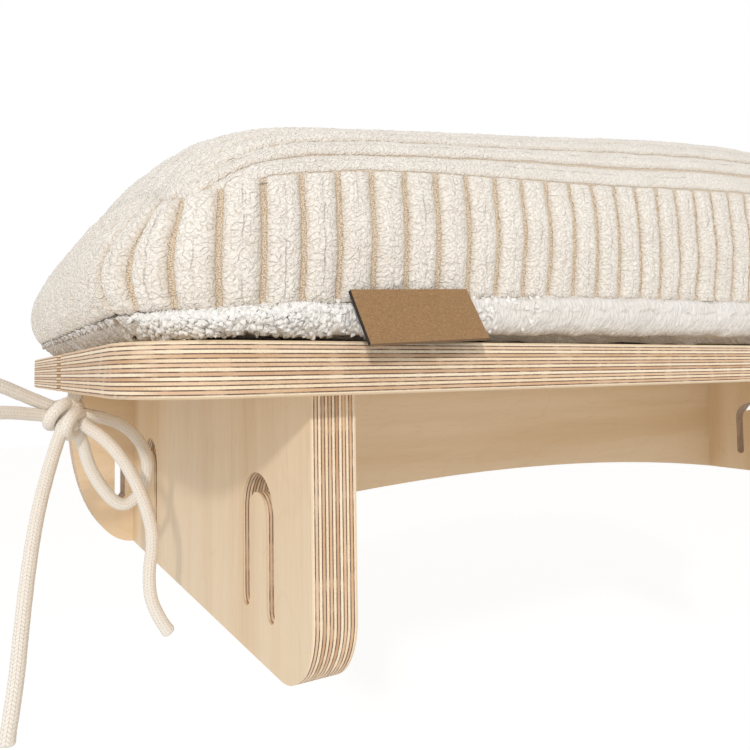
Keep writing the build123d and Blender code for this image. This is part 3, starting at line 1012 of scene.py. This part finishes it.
def cord_mesh(line, walked, radius, seed, cut_end=False, ring=False):
    """Points, faces and UVs of a cord along a line. A cut end is rounded and frayed."""
    ahead = np.gradient(line, axis=0)
    ahead /= np.linalg.norm(ahead, axis=1, keepdims=True)
    across = np.zeros_like(line)
    start = np.cross(ahead[0], (0.3, 0.9, 0.2))
    across[0] = start / np.linalg.norm(start)
    for index in range(1, len(line)):
        flat = across[index - 1] - ahead[index] * (across[index - 1] @ ahead[index])
        across[index] = flat / np.linalg.norm(flat)
    up = np.cross(ahead, across)
    turns = np.linspace(0, 2 * math.pi, cord_sides + 1)
    spoke = across[:, None] * np.cos(turns)[:, None] + up[:, None] * np.sin(turns)[:, None]
    girth = np.full(len(line), radius)
    left = walked[-1] - walked
    if cut_end:
        girth = radius * (1 + 0.06 * np.exp(-((left - 0.002) / 0.0015) ** 2))
        near = np.clip(1 - left / 0.0012, 0, 1)
        girth = girth * np.sqrt(1 - 0.75 * near * near)
    uneven = 1 + 0.02 * swells(walked[:, None], turns * radius, 0.012, seed)
    strand = np.round(turns / (2 * math.pi) * 8) * math.pi
    uneven = uneven + 0.018 * np.sin(walked[:, None] / 0.0022 * 2 * math.pi + strand)
    uneven[:, -1] = uneven[:, 0]
    points = line[:, None] + spoke * (girth[:, None] * uneven)[..., None]
    uv = np.stack(np.broadcast_arrays(turns * radius, walked[:, None]), -1)
    numbers = numbered(points)
    faces = [quad[::-1] for quad in quads(numbers)]
    if not ring:
        faces += [numbers[0, :-1].tolist(), numbers[-1, :-1][::-1].tolist()]
    return points.reshape(-1, 3), faces, uv.reshape(-1, 2)


def sealed(piece):
    """Joins the two edges of a tube's seam and turns its faces outward."""
    bpy.ops.object.select_all(action="DESELECT")
    piece.select_set(True)
    bpy.context.view_layer.objects.active = piece
    bpy.ops.object.mode_set(mode="EDIT")
    bpy.ops.mesh.select_all(action="SELECT")
    bpy.ops.mesh.remove_doubles(threshold=0.000005)
    bpy.ops.mesh.normals_make_consistent(inside=False)
    bpy.ops.object.mode_set(mode="OBJECT")
    return piece


def braided_cotton():
    material, shader, place = new_finish("braided_cotton", 0.9, "UV")
    shader.inputs["Sheen Weight"].default_value = 0.2
    around, along, _ = place.axes()
    lane = around / (math.pi * cord_diameter / 12)
    chevron = along / 0.0015 + lane.math("PINGPONG", 1.0) * 0.8
    plait = chevron.math("PINGPONG", 0.5) * 2
    valley = lane.math("PINGPONG", 0.5) * 2
    fibres = place.noise(2600, 2.0)
    # Painted shade: the valleys between the plaits and between the lanes darkened in colour, and
    # sunk in relief
    dip = plait.step(0.35, 0.0) * 0.7 + valley.step(0.16, 0.0) * 0.6
    body = fibres.step(0.3, 0.75).blend((246, 239, 229), (232, 223, 209))
    give(shader, "Base Color", (dip * 0.36).blend(body, (200, 186, 166)))
    emboss(shader, 1 - dip * 0.8 + fibres * 0.25, 0.00024)
    return material


braid = braided_cotton()
# Each round of the knot that shows in front: its shift and lift, its lean, and its two reaches
knot_rounds = [
    (-0.0039, 0.0035, 0.60, 0.80, 0.0065, 0.0085),
    (0.0026, -0.0013, 0.33, 0.94, 0.0055, 0.0075),
]
knot_centre = (0.396, -0.167, 0.050)
knot_radius = 0.0029
knot_inset = 0.0026
# Those rounds are turned about 30 degrees from the wall
turned_x, turned_y = 0.864, 0.504


def bow_knot(end, side):
    """The cord wound in three crossing loops, with two more rounds over their front."""
    low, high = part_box(f"tie_{end}_knot")
    middle = np.array((low + high) / 2)
    reach = np.array((high - low) / 2) - knot_inset
    turn = np.linspace(0, 2 * math.pi, 400) + math.pi / 2
    loops = np.stack([
        (np.sin(turn) + 2 * np.sin(2 * turn)) / 3 * reach[0] * side,
        -np.sin(3 * turn) * reach[1] * 0.75,
        (np.cos(turn) - 2 * np.cos(2 * turn)) / 3 * reach[2],
    ], 1)
    rounds = [middle + loops]
    level_way = np.array([-turned_x * side, -turned_y, 0])
    deep_way = np.array([-turned_y * side, turned_x, 0])
    upward = np.array([0, 0, 1])
    for shift, lift, level_lean, up_lean, reach_up, reach_deep in knot_rounds:
        centre = np.array(knot_centre) * (side, 1, 1) + level_way * shift + upward * lift
        rise = (level_way * level_lean + upward * up_lean) * reach_up
        inward = deep_way * reach_deep
        rounds.append(centre + np.cos(turn)[:, None] * rise + np.sin(turn)[:, None] * inward)
    lines = [evenly(line, cord_step) for line in rounds]
    return joined([cord_mesh(*line, knot_radius, 9, ring=True) for line in lines])


for end, side in (("left", -1), ("right", 1)):
    for place, route in tie_routes.items():
        line = smooth_line([(side * x, y, z) for x, y, z in route])
        line, walked = evenly(line, cord_step)
        is_tail = place.startswith("cord")
        cord = cord_mesh(line, walked, cord_diameter / 2, 7, cut_end=is_tail)
        piece = sealed(new_piece(f"tie_{end}_{place}_braid", braid, *cord))
        fixed(piece, f"tie_{end}_{place}")

    knot = sealed(new_piece(f"tie_{end}_bow_knot", braid, *bow_knot(end, side)))
    fixed(knot, f"tie_{end}_knot")

# The studio: a pale floor far below, a white surround, one soft key lamp from the left front
# and the camera.
floor_drop = 0.55
floor_size = 14
bpy.ops.object.select_all(action="DESELECT")
floor_place = (0, 0, cad_box[0][2] - floor_drop)
bpy.ops.mesh.primitive_plane_add(size=floor_size, location=floor_place)
floor = bpy.context.object
floor.name = "floor"


def seen_directly(tree):
    """1 for the camera and for what metal mirrors, 0 for the light that falls on the part."""
    path_node = tree.nodes.new("ShaderNodeLightPath")
    seen = Wire(tree, path_node.outputs["Is Camera Ray"])
    for name in ("Is Glossy Ray", "Is Transmission Ray"):
        seen = seen.math("MAXIMUM", Wire(tree, path_node.outputs[name]))
    return seen


pale_floor, pale_shader, _ = new_finish("pale_floor", 0.9)
pale_shader.inputs["Base Color"].default_value = paint(244, 243, 241)
pale_shader.inputs["Emission Strength"].default_value = 0.31
glow = seen_directly(pale_floor.node_tree)
give(pale_shader, "Emission Color", glow.blend((0, 0, 0), (255, 255, 255)))
floor.data.materials.append(pale_floor)
world = bpy.data.worlds.new("surround")
bpy.context.scene.world = world
world.use_nodes = True
tree = world.node_tree
sky = tree.nodes["Background"]
sky.inputs["Color"].default_value = (1, 1, 1, 1)
tree.links.new((seen_directly(tree) * 0.28 + 0.72).socket, sky.inputs["Strength"])

key_distance = 2.6
key_from = Vector((-0.65, -1.0, 0.47)).normalized()
key_target = Vector((-0.2, -0.16, 0.06))
key_data = bpy.data.lights.new("key", "AREA")
key_data.shape = "DISK"
key_data.size = 0.16
key_data.energy = 27
key = put_in_scene("key", key_data)
key.location = key_target + key_from * key_distance
key.rotation_mode = "QUATERNION"
key.rotation_quaternion = key_from.to_track_quat("Z", "Y")

# The camera stands at the left front, low, and looks slightly up along the shelf
camera_place = (-0.4408, -0.5295, 0.0720)
photo_width = 750
focal_pixels = 698.97
centre_across, centre_down = 368.3, 331.81
yaw, pitch, roll = math.radians(30.24), math.radians(3.19), math.radians(-0.79)
turned = (Matrix.Rotation(-yaw, 4, "Z") @ Matrix.Rotation(math.pi / 2 + pitch, 4, "X")
          @ Matrix.Rotation(roll, 4, "Z"))
camera_data = bpy.data.cameras.new("camera")
camera_data.sensor_width = 36
camera_data.lens = focal_pixels / photo_width * camera_data.sensor_width
camera_data.shift_x = 0.5 - centre_across / photo_width
camera_data.shift_y = centre_down / photo_width - 0.5
camera_data.clip_start = 0.01
camera = put_in_scene("camera", camera_data)
camera.matrix_world = Matrix.Translation(camera_place) @ turned
bpy.context.scene.camera = camera
bpy.context.scene.view_settings.view_transform = "Standard"
